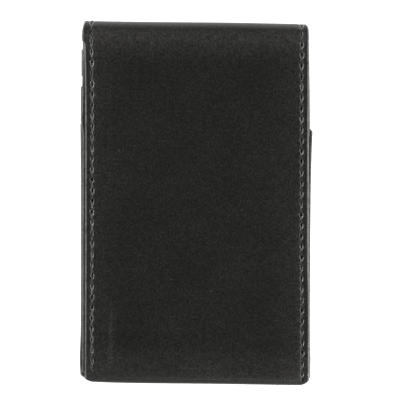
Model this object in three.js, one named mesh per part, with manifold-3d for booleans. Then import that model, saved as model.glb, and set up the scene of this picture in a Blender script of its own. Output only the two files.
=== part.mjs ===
// A slim bi-fold leather money clip, lying closed on its back cover.
// Millimetres, +X across the width, +Y towards the spine and +Z up through the thickness.
// The origin is the middle of the footprint, on the surface that the back cover lies on.
import * as THREE from "three";
import { mergeVertices } from "three/addons/utils/BufferGeometryUtils.js";
import Module from "manifold-3d";

const wasm = await Module();
wasm.setup();

// Driving dimensions of the closed wallet.
const LENGTH = 111; // from the bottom folds to the spine
const THICKNESS = 10;
const COVER_LEATHER = 1.2;
const LINING_LEATHER = 0.6;
const SLOT_LEATHER = 0.6;
const PLY_GAP = 0.1; // between two pieces that lie on each other
const CARD_GAP = 0.3; // the empty card pocket of the back half
const POCKET_HALF_WIDTH = 35.4;
const SLOT_TAB_HALF_WIDTH = 34.9;
const LINING_HALF_WIDTH = 34.7;
const SPINE_HALF_WIDTH = 34.5;
const COVER_HALF_WIDTH = 34.2;
const SLOT_BODY_HALF_WIDTH = 29;
const SEAM_X = 31.9;
const SPINE_TO_LINING = 5.4; // distances from the spine's outside to each upper edge
const SPINE_TO_UPPER_SLOT = 8.4;
const SLOT_STEP = 11.1;
const SPINE_TO_POCKET = 31.5;
const SLOT_TAB_DEPTH = 8.3;
const COVER_FLARE = 1.2; // length over which the cover widens into the spine
const CORNER_REACH = 3.2; // how far in from the pocket's side the cut corner ends
const CORNER_HEIGHT = 2.4;
const CORNER_BOW_X = 0.4; // where the corner's curve is pulled to, in from its square corner
const CORNER_BOW_Y = 0.6;
const UPPER_SLOT_FLOOR = 15; // how far above the bottom folds each card slot ends
const LOWER_SLOT_FLOOR = 9;

// Needle groove and thread.
const GROOVE_WIDTH = 0.9;
const GROOVE_DEPTH = 0.45;
const THREAD_WIDTH = 0.7;
const THREAD_TOP = 0.1; // below the leather's face
const THREAD_BOTTOM = 0.4;

// The spring clip: a riveted channel, a bail that swings on two pins, and a leaf spring under their cams.
const CHANNEL_HALF_LENGTH = 27;
const CHANNEL_WIDTH = 5;
const CHANNEL_STEEL = 0.6;
const CHANNEL_WALL_HEIGHT = 1.5;
const CHANNEL_END_HEIGHT = 3.5;
const CHANNEL_CENTRE_Y = 45.7;
const BAIL_STEEL = 1;
const BAIL_REACH = 21; // from the pins to the far edge of the crossbar
const BAIL_CROSSBAR = 7;
const BAIL_LEG_WIDTH = 4;
const BAIL_CORNER_RADIUS = 2;
const BAIL_SIDE_GAP = 0.4; // between a channel end and the bail's ear
const LEG_TO_CHANNEL = 0.6;
const EAR_RADIUS = 2;
const EAR_RUN = 6; // how far each ear tapers down along its leg
const EAR_CLEARANCE = 0.1; // above the lining
const PIN_HEIGHT = 2.1; // of the pins' axis above the channel's underside
const PIN_RADIUS = 0.75;
const PIN_CLEARANCE = 0.1;
const PIN_HEAD_RADIUS = 1.3;
const PIN_HEAD_THICKNESS = 0.7;
const PIN_HEAD_GAP = 0.1;
const CAM_HALF_SIZE = 0.95;
const CAM_LENGTH = 3.5;
const CAM_END_GAP = 0.2;
const SPRING_STEEL = 0.25;
const SPRING_WIDTH = 3.4;
const SPRING_RISE = 0.15;
const SPRING_SLOPE_START = 4.8; // from each rivet to where the spring starts to rise
const SPRING_SLOPE = 4;
const SPRING_END_GAP = 0.6;
const RIVET_X = 9;
const RIVET_RADIUS = 0.9;
const RIVET_HOLE_RADIUS = 1.05;
const RIVET_HEAD_RADIUS = 1.8;
const RIVET_HEAD_HEIGHT = 0.6;
const RIVET_TAIL_RADIUS = 1.5;
const RIVET_TAIL_HEIGHT = 0.25;
const WASHER_RADIUS = 2.2;
const WASHER_THICKNESS = 0.25;
const RIVET_PLAY = 0.05; // between the rivet, its washer and the plies it holds
const RECESS_RADIUS = 2.8;
const RECESS_FLOOR = 0.55; // leather left under each rivet tail

// Places worked out from those.
const BOTTOM_Y = -LENGTH / 2;
const TOP_Y = LENGTH / 2;
const SPINE_RADIUS = THICKNESS / 2;
const SPINE_Y = TOP_Y - SPINE_RADIUS; // centre of the half-round spine
const LINING_TOP_Y = TOP_Y - SPINE_TO_LINING;
const POCKET_TOP_Y = TOP_Y - SPINE_TO_POCKET;
const LINING_BOTTOM = COVER_LEATHER + PLY_GAP;
const LINING_TOP = LINING_BOTTOM + LINING_LEATHER;
const BACK_STACK = LINING_TOP + CARD_GAP + COVER_LEATHER;
const UPPER_SLOT_BOTTOM = LINING_TOP + PLY_GAP;
const LOWER_SLOT_BOTTOM = UPPER_SLOT_BOTTOM + SLOT_LEATHER + PLY_GAP;
const FRONT_STACK = LOWER_SLOT_BOTTOM + SLOT_LEATHER + PLY_GAP + COVER_LEATHER;
const CREASE_DEG = 45; // each of the spine's four creases turns by this much
const CREASE_GAP_DEG = 1; // free play on each side of a crease
const CHANNEL_FLOOR = LINING_TOP + PLY_GAP;
const PIN_Z = CHANNEL_FLOOR + PIN_HEIGHT;
const BAIL_HALF_WIDTH = CHANNEL_HALF_LENGTH + BAIL_SIDE_GAP + BAIL_STEEL;
const ROUND_SEGMENTS = 24;
const ARC_SEGMENTS = 8;
const HEAD_SEGMENTS = 4;
const OVERCUT = 1; // how far a cutting solid stands past what it cuts

const leather = new THREE.MeshStandardMaterial({ color: 0x1b1a19, roughness: 0.6 });
const liningLeather = new THREE.MeshStandardMaterial({ color: 0x211f1e, roughness: 0.75 });
const thread = new THREE.MeshStandardMaterial({ color: 0x2a2928, roughness: 0.5 });
const steel = new THREE.MeshStandardMaterial({ color: 0xc4c6c8, roughness: 0.3, metalness: 1 });
const springSteel = new THREE.MeshStandardMaterial({ color: 0x8d9094, roughness: 0.35, metalness: 1 });
const brass = new THREE.MeshStandardMaterial({ color: 0xb08d4f, roughness: 0.35, metalness: 1 });

const degrees = THREE.MathUtils.degToRad;

// ---- Solids ----

function solidOf(geometry) {
  const bare = geometry.clone();
  bare.deleteAttribute("normal");
  bare.deleteAttribute("uv");
  const merged = mergeVertices(bare, 1e-4);
  return new wasm.Manifold(
    new wasm.Mesh({
      numProp: 3,
      vertProperties: merged.attributes.position.array,
      triVerts: new Uint32Array(merged.index.array),
    }),
  );
}

function geometryOf(solid) {
  const mesh = solid.getMesh();
  const geometry = new THREE.BufferGeometry();
  geometry.setAttribute("position", new THREE.BufferAttribute(mesh.vertProperties, 3));
  geometry.setIndex(new THREE.BufferAttribute(mesh.triVerts, 1));
  geometry.computeVertexNormals();
  return geometry;
}

function extrude(shape, depth) {
  return new THREE.ExtrudeGeometry(shape, { depth, bevelEnabled: false, curveSegments: ARC_SEGMENTS });
}

// A shape drawn in (x, y), made solid from z0 to z1.
function alongZ(shape, z0, z1) {
  return solidOf(extrude(shape, z1 - z0).translate(0, 0, z0));
}

// A shape drawn in (y, z), made solid from x0 to x1.
function alongX(shape, x0, x1) {
  const turn = new THREE.Matrix4().makeBasis(
    new THREE.Vector3(0, 1, 0),
    new THREE.Vector3(0, 0, 1),
    new THREE.Vector3(1, 0, 0),
  );
  return solidOf(extrude(shape, x1 - x0).applyMatrix4(turn).translate(x0, 0, 0));
}

// A shape drawn in (x, z), made solid from y0 to y1.
function alongY(shape, y0, y1) {
  const turn = new THREE.Matrix4().makeBasis(
    new THREE.Vector3(1, 0, 0),
    new THREE.Vector3(0, 0, 1),
    new THREE.Vector3(0, -1, 0),
  );
  return solidOf(extrude(shape, y1 - y0).applyMatrix4(turn).translate(0, y1, 0));
}

function block(x0, x1, y0, y1, z0, z1) {
  const geometry = new THREE.BoxGeometry(x1 - x0, y1 - y0, z1 - z0);
  return solidOf(geometry.translate((x0 + x1) / 2, (y0 + y1) / 2, (z0 + z1) / 2));
}

// A round bar along Z, centred on (x, y).
function roundZ(radius, x, y, z0, z1) {
  const geometry = new THREE.CylinderGeometry(radius, radius, z1 - z0, ROUND_SEGMENTS);
  return solidOf(geometry.rotateX(Math.PI / 2).translate(x, y, (z0 + z1) / 2));
}

// A round bar along X on the clip's hinge axis.
function roundOnHinge(radius, x0, x1) {
  const geometry = new THREE.CylinderGeometry(radius, radius, Math.abs(x1 - x0), ROUND_SEGMENTS);
  return solidOf(geometry.rotateZ(Math.PI / 2).translate((x0 + x1) / 2, CHANNEL_CENTRE_Y, PIN_Z));
}

function polygon(points) {
  return new THREE.Shape(points.map(([u, v]) => new THREE.Vector2(u, v)));
}

// The front half is drawn as the back half is, and turned upside down to hang from the spine.
function flipped(shape) {
  return polygon(shape.getPoints(ARC_SEGMENTS).map((p) => [p.x, THICKNESS - p.y]));
}

function place(name, solid, material) {
  const mesh = new THREE.Mesh(geometryOf(solid), material);
  mesh.name = name;
  return mesh;
}

// ---- The cover: one leather strip, folded up into a pocket at each end ----

// Side view of one half: outer panel, bottom fold and pocket, and the first part of the spine's bend.
function coverProfile(stack) {
  const foldRadius = stack / 2;
  const foldY = BOTTOM_Y + foldRadius;
  const bendEnd = degrees(-90 + CREASE_DEG / 2 - CREASE_GAP_DEG);
  const shape = new THREE.Shape();
  shape.moveTo(POCKET_TOP_Y, stack);
  shape.lineTo(foldY, stack);
  shape.absarc(foldY, foldRadius, foldRadius, Math.PI / 2, Math.PI * 1.5, false);
  shape.lineTo(SPINE_Y, 0);
  shape.absarc(SPINE_Y, SPINE_RADIUS, SPINE_RADIUS, -Math.PI / 2, bendEnd, false);
  shape.absarc(SPINE_Y, SPINE_RADIUS, SPINE_RADIUS - COVER_LEATHER, bendEnd, -Math.PI / 2, true);
  shape.lineTo(foldY, COVER_LEATHER);
  shape.absarc(foldY, foldRadius, foldRadius - COVER_LEATHER, Math.PI * 1.5, Math.PI / 2, true);
  shape.lineTo(POCKET_TOP_Y, stack - COVER_LEATHER);
  return shape;
}

// Plan of a panel with its bottom corners cut away in a curve.
function panelPlan(halfWidth, topY, spineHalfWidth) {
  const cornerX = POCKET_HALF_WIDTH - CORNER_REACH;
  const cornerY = BOTTOM_Y + CORNER_HEIGHT * ((halfWidth - cornerX) / CORNER_REACH);
  const bowX = halfWidth - CORNER_BOW_X;
  const bowY = BOTTOM_Y + CORNER_BOW_Y;
  const stepY = LINING_TOP_Y;
  const flareY = stepY + COVER_FLARE;
  const shape = new THREE.Shape();
  shape.moveTo(cornerX, BOTTOM_Y - OVERCUT);
  shape.lineTo(cornerX, BOTTOM_Y);
  shape.quadraticCurveTo(bowX, bowY, halfWidth, cornerY);
  shape.lineTo(halfWidth, stepY);
  shape.lineTo(spineHalfWidth, flareY);
  shape.lineTo(spineHalfWidth, topY);
  shape.lineTo(-spineHalfWidth, topY);
  shape.lineTo(-spineHalfWidth, flareY);
  shape.lineTo(-halfWidth, stepY);
  shape.lineTo(-halfWidth, cornerY);
  shape.quadraticCurveTo(-bowX, bowY, -cornerX, BOTTOM_Y);
  shape.lineTo(-cornerX, BOTTOM_Y - OVERCUT);
  return shape;
}

// Side view of a band that follows one half's outer face, between two depths below it.
function faceBand(startY, depth0, depth1) {
  const bendEnd = degrees(-90 + CREASE_DEG / 2 - CREASE_GAP_DEG);
  const shape = new THREE.Shape();
  shape.moveTo(startY, depth0);
  shape.lineTo(SPINE_Y, depth0);
  shape.absarc(SPINE_Y, SPINE_RADIUS, SPINE_RADIUS - depth0, -Math.PI / 2, bendEnd, false);
  shape.absarc(SPINE_Y, SPINE_RADIUS, SPINE_RADIUS - depth1, bendEnd, -Math.PI / 2, true);
  shape.lineTo(startY, depth1);
  return shape;
}

// The same for one length of the spine.
function spineBand(startDeg, endDeg, depth0, depth1) {
  const start = degrees(startDeg + CREASE_GAP_DEG);
  const end = degrees(endDeg - CREASE_GAP_DEG);
  const shape = new THREE.Shape();
  shape.absarc(SPINE_Y, SPINE_RADIUS, SPINE_RADIUS - depth0, start, end, false);
  shape.absarc(SPINE_Y, SPINE_RADIUS, SPINE_RADIUS - depth1, end, start, true);
  return shape;
}

const SIDES = [
  ["left", -1],
  ["right", 1],
];

function withGrooves(solid, bandShape) {
  return SIDES.reduce((cut, [, sign]) => {
    const x = sign * SEAM_X;
    return cut.subtract(alongX(bandShape, x - GROOVE_WIDTH / 2, x + GROOVE_WIDTH / 2));
  }, solid);
}

function threads(prefix, bandShape) {
  return SIDES.map(([side, sign]) => {
    const x = sign * SEAM_X;
    const bar = alongX(bandShape, x - THREAD_WIDTH / 2, x + THREAD_WIDTH / 2);
    return place(`${prefix}_seam_thread_${side}`, bar, thread);
  });
}

// One half of the cover strip. turn is the identity for the back half and flipped for the front.
function cover(stack, turn) {
  const strip = alongX(turn(coverProfile(stack)), -POCKET_HALF_WIDTH, POCKET_HALF_WIDTH);
  const level = (z) => (turn === flipped ? THICKNESS - z : z);
  const slice = (z0, z1, plan) => {
    const [low, high] = [level(z0), level(z1)].sort((a, b) => a - b);
    return strip.intersect(alongZ(plan, low, high));
  };
  const outerPlan = panelPlan(COVER_HALF_WIDTH, TOP_Y + OVERCUT, SPINE_HALF_WIDTH);
  const pocketPlan = panelPlan(POCKET_HALF_WIDTH, TOP_Y + OVERCUT, POCKET_HALF_WIDTH);
  const outer = slice(-OVERCUT, stack / 2, outerPlan);
  const pocket = slice(stack / 2, stack + OVERCUT, pocketPlan);
  const groove = turn(faceBand(BOTTOM_Y + stack / 2, -OVERCUT, GROOVE_DEPTH));
  return withGrooves(outer.add(pocket), groove);
}

function coverThreads(prefix, stack, turn) {
  return threads(prefix, turn(faceBand(BOTTOM_Y + stack / 2 + PLY_GAP, THREAD_TOP, THREAD_BOTTOM)));
}

// ---- Linings and card slots ----

function lining(stack) {
  const bottomY = BOTTOM_Y + stack / 2;
  const shape = polygon([
    [-LINING_HALF_WIDTH, bottomY + CORNER_HEIGHT],
    [-LINING_HALF_WIDTH + CORNER_HEIGHT, bottomY],
    [LINING_HALF_WIDTH - CORNER_HEIGHT, bottomY],
    [LINING_HALF_WIDTH, bottomY + CORNER_HEIGHT],
    [LINING_HALF_WIDTH, LINING_TOP_Y],
    [-LINING_HALF_WIDTH, LINING_TOP_Y],
  ]);
  return alongZ(shape, LINING_BOTTOM, LINING_TOP);
}

// A card slot is T-shaped: only its top band reaches the side seams.
function cardSlot(topY, bottomY, z0) {
  const tabY = topY - SLOT_TAB_DEPTH;
  const shape = polygon([
    [-SLOT_BODY_HALF_WIDTH, bottomY],
    [SLOT_BODY_HALF_WIDTH, bottomY],
    [SLOT_BODY_HALF_WIDTH, tabY],
    [SLOT_TAB_HALF_WIDTH, tabY],
    [SLOT_TAB_HALF_WIDTH, topY],
    [-SLOT_TAB_HALF_WIDTH, topY],
    [-SLOT_TAB_HALF_WIDTH, tabY],
    [-SLOT_BODY_HALF_WIDTH, tabY],
  ]);
  const [low, high] = [THICKNESS - z0 - SLOT_LEATHER, THICKNESS - z0];
  return alongZ(shape, low, high);
}

// ---- The spring clip ----

function channel() {
  const y0 = CHANNEL_CENTRE_Y - CHANNEL_WIDTH / 2;
  const y1 = CHANNEL_CENTRE_Y + CHANNEL_WIDTH / 2;
  const floorTop = CHANNEL_FLOOR + CHANNEL_STEEL;
  const wallTop = CHANNEL_FLOOR + CHANNEL_WALL_HEIGHT;
  const endTop = CHANNEL_FLOOR + CHANNEL_END_HEIGHT;
  const half = CHANNEL_HALF_LENGTH;
  let made = block(-half, half, y0, y1, CHANNEL_FLOOR, floorTop);
  made = made.add(block(-half, half, y0, y0 + CHANNEL_STEEL, CHANNEL_FLOOR, wallTop));
  made = made.add(block(-half, half, y1 - CHANNEL_STEEL, y1, CHANNEL_FLOOR, wallTop));
  for (const [, sign] of SIDES) {
    const [x0, x1] = [sign * half, sign * (half - CHANNEL_STEEL)].sort((a, b) => a - b);
    const hole = roundOnHinge(PIN_RADIUS + PIN_CLEARANCE, x0 - OVERCUT, x1 + OVERCUT);
    made = made.add(block(x0, x1, y0, y1, CHANNEL_FLOOR, endTop)).subtract(hole);
    made = made.subtract(rivetHole(sign));
  }
  return made;
}

function rivetHole(sign) {
  return roundZ(RIVET_HOLE_RADIUS, sign * RIVET_X, CHANNEL_CENTRE_Y, -OVERCUT, PIN_Z);
}

// A flat strip held down in the middle, whose raised ends bear on the pins' cams.
function leafSpring() {
  const low = CHANNEL_FLOOR + CHANNEL_STEEL + PLY_GAP;
  const flat = RIVET_X + SPRING_SLOPE_START;
  const raised = flat + SPRING_SLOPE;
  const end = CHANNEL_HALF_LENGTH - CHANNEL_STEEL - SPRING_END_GAP;
  const under = [
    [-end, low + SPRING_RISE],
    [-raised, low + SPRING_RISE],
    [-flat, low],
    [flat, low],
    [raised, low + SPRING_RISE],
    [end, low + SPRING_RISE],
  ];
  const over = under.map(([x, z]) => [x, z + SPRING_STEEL]).reverse();
  const y0 = CHANNEL_CENTRE_Y - SPRING_WIDTH / 2;
  const strip = alongY(polygon([...under, ...over]), y0, y0 + SPRING_WIDTH);
  return SIDES.reduce((made, [, sign]) => made.subtract(rivetHole(sign)), strip);
}

// Domed above the spring, upset below the washer under the lining.
function rivet(sign) {
  const headZ = CHANNEL_FLOOR + CHANNEL_STEEL + PLY_GAP + SPRING_STEEL + RIVET_PLAY;
  const tailZ = washerBottom() - RIVET_PLAY;
  const outline = new THREE.Path();
  outline.moveTo(0, tailZ - RIVET_TAIL_HEIGHT);
  outline.lineTo(RIVET_TAIL_RADIUS, tailZ - RIVET_TAIL_HEIGHT);
  outline.lineTo(RIVET_TAIL_RADIUS, tailZ);
  outline.lineTo(RIVET_RADIUS, tailZ);
  outline.lineTo(RIVET_RADIUS, headZ);
  outline.lineTo(RIVET_HEAD_RADIUS, headZ);
  const crownZ = headZ + RIVET_HEAD_HEIGHT;
  outline.quadraticCurveTo(RIVET_HEAD_RADIUS * 0.8, crownZ, 0, crownZ);
  return solidOf(
    new THREE.LatheGeometry(outline.getPoints(HEAD_SEGMENTS), ROUND_SEGMENTS)
      .rotateX(Math.PI / 2)
      .translate(sign * RIVET_X, CHANNEL_CENTRE_Y, 0),
  );
}

function washerBottom() {
  return LINING_BOTTOM - RIVET_PLAY - WASHER_THICKNESS;
}

function washer(sign) {
  const z0 = washerBottom();
  const disc = roundZ(WASHER_RADIUS, sign * RIVET_X, CHANNEL_CENTRE_Y, z0, z0 + WASHER_THICKNESS);
  return disc.subtract(rivetHole(sign));
}

// A stamped bail: flat crossbar and legs, with an upright ear at each end that turns on a pin.
function bail() {
  const z0 = CHANNEL_FLOOR;
  const z1 = z0 + BAIL_STEEL;
  const farY = CHANNEL_CENTRE_Y - BAIL_REACH;
  const legEndY = CHANNEL_CENTRE_Y - CHANNEL_WIDTH / 2 - LEG_TO_CHANNEL;
  const windowX = BAIL_HALF_WIDTH - BAIL_LEG_WIDTH;
  const outline = new THREE.Shape();
  const corner = BAIL_CORNER_RADIUS;
  outline.moveTo(BAIL_HALF_WIDTH, legEndY);
  outline.lineTo(windowX, legEndY);
  outline.lineTo(windowX, farY + BAIL_CROSSBAR);
  outline.lineTo(-windowX, farY + BAIL_CROSSBAR);
  outline.lineTo(-windowX, legEndY);
  outline.lineTo(-BAIL_HALF_WIDTH, legEndY);
  outline.lineTo(-BAIL_HALF_WIDTH, farY + corner);
  outline.absarc(-BAIL_HALF_WIDTH + corner, farY + corner, corner, Math.PI, Math.PI * 1.5, false);
  outline.absarc(BAIL_HALF_WIDTH - corner, farY + corner, corner, -Math.PI / 2, 0, false);
  let made = alongZ(outline, z0, z1);
  const ear = new THREE.Shape();
  ear.moveTo(legEndY - EAR_RUN, z0);
  ear.lineTo(CHANNEL_CENTRE_Y, z0 + EAR_CLEARANCE);
  ear.absarc(CHANNEL_CENTRE_Y, PIN_Z, EAR_RADIUS, -Math.PI / 2, Math.PI * 0.75, false);
  ear.lineTo(legEndY - EAR_RUN, z1);
  for (const [, sign] of SIDES) {
    const inner = sign * (BAIL_HALF_WIDTH - BAIL_STEEL);
    const [x0, x1] = [inner, sign * BAIL_HALF_WIDTH].sort((a, b) => a - b);
    made = made.add(alongX(ear, x0, x1));
    made = made.subtract(roundOnHinge(PIN_RADIUS + PIN_CLEARANCE, x0 - OVERCUT, x1 + OVERCUT));
  }
  return made;
}

// A headed pin that turns with the bail. Its square cam sits inside the channel.
function pin(sign) {
  const camEnd = CHANNEL_HALF_LENGTH - CHANNEL_STEEL - CAM_END_GAP;
  const camStart = camEnd - CAM_LENGTH;
  const headStart = BAIL_HALF_WIDTH + PIN_HEAD_GAP;
  const overlap = PIN_HEAD_THICKNESS / 2;
  const shaft = roundOnHinge(PIN_RADIUS, sign * (camEnd - overlap), sign * (headStart + overlap));
  const head = roundOnHinge(PIN_HEAD_RADIUS, sign * headStart, sign * (headStart + PIN_HEAD_THICKNESS));
  const [x0, x1] = [sign * camStart, sign * camEnd].sort((a, b) => a - b);
  const cam = block(
    x0,
    x1,
    CHANNEL_CENTRE_Y - CAM_HALF_SIZE,
    CHANNEL_CENTRE_Y + CAM_HALF_SIZE,
    PIN_Z - CAM_HALF_SIZE,
    PIN_Z + CAM_HALF_SIZE,
  );
  return shaft.add(head).add(cam);
}

// ---- The assembly, one group for each part that moves ----

const upright = (shape) => shape;

function backHalf() {
  const half = new THREE.Group();
  let backCover = cover(BACK_STACK, upright);
  let backLining = lining(BACK_STACK);
  for (const [side, sign] of SIDES) {
    const recessTop = COVER_LEATHER + OVERCUT;
    const recess = roundZ(RECESS_RADIUS, sign * RIVET_X, CHANNEL_CENTRE_Y, RECESS_FLOOR, recessTop);
    backCover = backCover.subtract(recess);
    backLining = backLining.subtract(rivetHole(sign));
    half.add(place(`clip_rivet_${side}`, rivet(sign), brass));
    half.add(place(`clip_washer_${side}`, washer(sign), brass));
  }
  half.add(place("back_cover", backCover, leather));
  half.add(place("back_lining", backLining, liningLeather));
  half.add(...coverThreads("back", BACK_STACK, upright));
  half.add(place("clip_channel", channel(), steel));
  half.add(place("clip_leaf_spring", leafSpring(), springSteel));
  return half;
}

function clipBail() {
  const swinging = new THREE.Group();
  swinging.add(place("clip_bail", bail(), steel));
  for (const [side, sign] of SIDES) swinging.add(place(`clip_pin_${side}`, pin(sign), steel));
  return swinging;
}

function spine() {
  const lengths = new THREE.Group();
  ["lower", "middle", "upper"].forEach((level, index) => {
    const start = -90 + CREASE_DEG * (index + 0.5);
    const end = start + CREASE_DEG;
    const strip = alongX(spineBand(start, end, 0, COVER_LEATHER), -SPINE_HALF_WIDTH, SPINE_HALF_WIDTH);
    const groove = spineBand(start - CREASE_GAP_DEG * 2, end + CREASE_GAP_DEG * 2, -OVERCUT, GROOVE_DEPTH);
    lengths.add(place(`spine_${level}`, withGrooves(strip, groove), leather));
    lengths.add(...threads(`spine_${level}`, spineBand(start, end, THREAD_TOP, THREAD_BOTTOM)));
  });
  return lengths;
}

function frontHalf() {
  const half = new THREE.Group();
  const upperSlotY = TOP_Y - SPINE_TO_UPPER_SLOT;
  const lowerSlotY = upperSlotY - SLOT_STEP;
  const upperSlot = cardSlot(upperSlotY, BOTTOM_Y + UPPER_SLOT_FLOOR, UPPER_SLOT_BOTTOM);
  const lowerSlot = cardSlot(lowerSlotY, BOTTOM_Y + LOWER_SLOT_FLOOR, LOWER_SLOT_BOTTOM);
  const frontLining = lining(FRONT_STACK).translate([0, 0, THICKNESS - LINING_TOP - LINING_BOTTOM]);
  half.add(place("front_cover", cover(FRONT_STACK, flipped), leather));
  half.add(place("front_lining", frontLining, liningLeather));
  half.add(place("front_card_slot_upper", upperSlot, liningLeather));
  half.add(place("front_card_slot_lower", lowerSlot, liningLeather));
  half.add(...coverThreads("front", FRONT_STACK, flipped));
  return half;
}

const moneyClip = new THREE.Group();
moneyClip.add(backHalf(), clipBail(), spine(), frontHalf());

export default moneyClip;
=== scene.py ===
import math

import bmesh
import bpy
import numpy as np
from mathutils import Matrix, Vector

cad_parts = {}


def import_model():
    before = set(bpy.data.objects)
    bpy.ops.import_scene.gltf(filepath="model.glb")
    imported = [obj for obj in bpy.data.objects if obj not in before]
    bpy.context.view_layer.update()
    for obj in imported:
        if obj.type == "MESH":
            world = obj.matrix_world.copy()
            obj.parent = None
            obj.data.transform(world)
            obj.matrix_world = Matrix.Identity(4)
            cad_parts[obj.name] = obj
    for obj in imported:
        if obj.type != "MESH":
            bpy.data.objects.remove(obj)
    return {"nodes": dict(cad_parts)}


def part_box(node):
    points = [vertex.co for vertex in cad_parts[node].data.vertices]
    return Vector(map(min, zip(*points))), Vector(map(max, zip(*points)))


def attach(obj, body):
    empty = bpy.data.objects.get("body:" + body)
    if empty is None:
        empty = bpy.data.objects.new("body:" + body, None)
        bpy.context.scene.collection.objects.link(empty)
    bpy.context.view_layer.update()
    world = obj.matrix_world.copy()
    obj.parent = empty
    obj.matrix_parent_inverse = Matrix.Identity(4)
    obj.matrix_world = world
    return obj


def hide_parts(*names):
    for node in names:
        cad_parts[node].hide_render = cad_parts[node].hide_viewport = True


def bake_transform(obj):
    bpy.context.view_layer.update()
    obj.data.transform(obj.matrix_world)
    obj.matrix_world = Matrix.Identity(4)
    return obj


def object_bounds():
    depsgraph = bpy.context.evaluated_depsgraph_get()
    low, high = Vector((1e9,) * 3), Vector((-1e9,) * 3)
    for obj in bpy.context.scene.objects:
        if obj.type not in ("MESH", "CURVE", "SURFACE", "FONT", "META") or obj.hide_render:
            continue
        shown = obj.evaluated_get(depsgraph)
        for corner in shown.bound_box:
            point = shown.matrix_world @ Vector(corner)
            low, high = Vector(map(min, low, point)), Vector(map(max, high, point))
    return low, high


# A closed bi-fold leather money clip, seen from straight above its front cover.
#
# The covers and the spine are one strip of leather. It is drawn in side view as rows, each a point on the
# grain side and one on the flesh side, and sweep() carries the rows across the width. "s" is the distance
# along the grain side from the middle of the spine. The front half is drawn as the back half is, and
# flipped() turns it over.

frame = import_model()
cad_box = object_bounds()

MM = 0.001  # lengths are in metres
LEFT, RIGHT = -1, 1  # the sign of x on each side
SIDES = (LEFT, RIGHT)


def per_side(left, right):
    """A length for each side, given in millimetres."""
    return {LEFT: left * MM, RIGHT: right * MM}


def smooth(t):
    t = np.clip(t, 0, 1)
    return t * t * (3 - 2 * t)


def bump(t):
    return np.exp(-t * t)


def direction(angle):
    return np.array((math.cos(angle), math.sin(angle)))


# ---- Places, from the CAD frame ----

BOTTOM_Y = cad_box[0].y
THICKNESS = cad_box[1].z - cad_box[0].z
SPINE_RADIUS = THICKNESS / 2
SPINE_Y = cad_box[1].y - SPINE_RADIUS
SPINE_CENTRE = np.array((SPINE_Y, SPINE_RADIUS))
SPINE_ARC = SPINE_RADIUS * math.pi / 2  # from the spine's middle to the start of a flat panel
SPINE_STEP_DEG = 45  # one crease of the spine
SPINE_HALF_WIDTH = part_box("spine_middle")[1].x
PANEL_START = SPINE_RADIUS * math.radians(90 - SPINE_STEP_DEG)  # where the covers' pieces start, in s
BACK_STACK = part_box("back_cover")[1].z
FRONT_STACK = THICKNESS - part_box("front_cover")[0].z
POCKET_HALF_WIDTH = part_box("back_cover")[1].x
POCKET_TOP_Y = cad_box[1].y - 31.5 * MM
SEAM_X = sum(corner.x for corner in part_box("back_seam_thread_right")) / 2
SEAM_FULL = SPINE_ARC + SPINE_Y - BOTTOM_Y  # a panel's end, in s

# ---- The leather strip ----

LEATHER = 1.2 * MM
DEEPEST = 0.85 * LEATHER  # of any hole in it
SKEW = 0.0125  # the leather is cut a little out of square: y falls by this share of x
BACK_FOLD_REACH = 3.1 * MM  # how far the bottom fold bows out
FRONT_FOLD_REACH = 4.2 * MM

EDGE_DOME = 0.5 * MM  # how far each cut edge is rounded over
EDGE_ANGLES = np.radians(np.linspace(-90, 90, 7)[1:-1])
END_ANGLES = np.radians([25, 50, 70, 84])

SPINE_EXTRA = per_side(0.48, 0.0)  # how much wider the spine is than in the CAD
TOP_ROUNDING = per_side(0.65, 0.55)  # how much narrower the strip is where it bends over the top
TOP_ROUNDING_REACH = per_side(7.8, 4.2)
SHOULDER = per_side(0.63, 0.06)  # how much narrower the panel is just below the spine
SHOULDER_START = per_side(1.3, 0.0)  # below the spine
SHOULDER_LENGTH = 1.2 * MM
WAIST = per_side(0.50, 0.0)  # and how much narrower again lower down
WAIST_LENGTH = 14 * MM
FLARE = per_side(0.0, 0.35)  # how much wider it gets again towards the bottom fold
FLARE_START = 70 * MM
FLARE_LENGTH = 25 * MM

POCKET_SHRINK = per_side(0.2, 0.25)  # how much narrower the turned-in pocket is than in the CAD
MOUTH_BULGE = per_side(0.28, 0.78)  # it gapes towards its mouth
MOUTH_BULGE_LENGTH = 14 * MM
MOUTH_CORNER = per_side(0.0, 1.2)  # how far the corners of its mouth are worn off
MOUTH_CORNER_LENGTH = 1.6 * MM
FOOT_BULGE = per_side(0.3, 0.17)  # and it is pressed out above the bottom fold
FOOT_BULGE_HEIGHT = 7.5 * MM
FOOT_BULGE_SPREAD = 5.5 * MM

CORNER_REACH = 3.4 * MM
CORNER_HEIGHT = per_side(2.35, 3.3)
CORNER_POWER = {LEFT: 1.4, RIGHT: 2.0}  # 1 cuts the bottom corners straight, 2 rounds them fully

EDGE_SLOPE = per_side(0.25, 0.08)  # how far the cover falls away towards its sides
SLOPE_STEPS = ((0.6, 5 * MM, 6.8 * MM), (0.4, 17 * MM, 18 * MM))  # (share, start inside the seam, length)
LEVEL_CREST = 4 * MM  # it hardly falls away this near to the middle of the spine
CREST_WAVE = 0.11 * MM  # the fold over the top isn't quite straight
CREST_WAVE_SPREAD = 5 * MM
CREST_LOW_X = -23 * MM
CREST_HALF_WAVE = 34 * MM
SWELL = 0.05 * MM  # slow unevenness of the whole face
SWELL_X = 9 * MM
SWELL_S = 15 * MM
SWELL_FADE = 6 * MM  # towards the seams
CREASE_INSET = 1.8 * MM  # from a pocket's mouth to the line pressed into the leather along it
CREASE_DEPTH = 0.09 * MM
CREASE_SPREAD = 0.22 * MM

# ---- The seams ----

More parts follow.
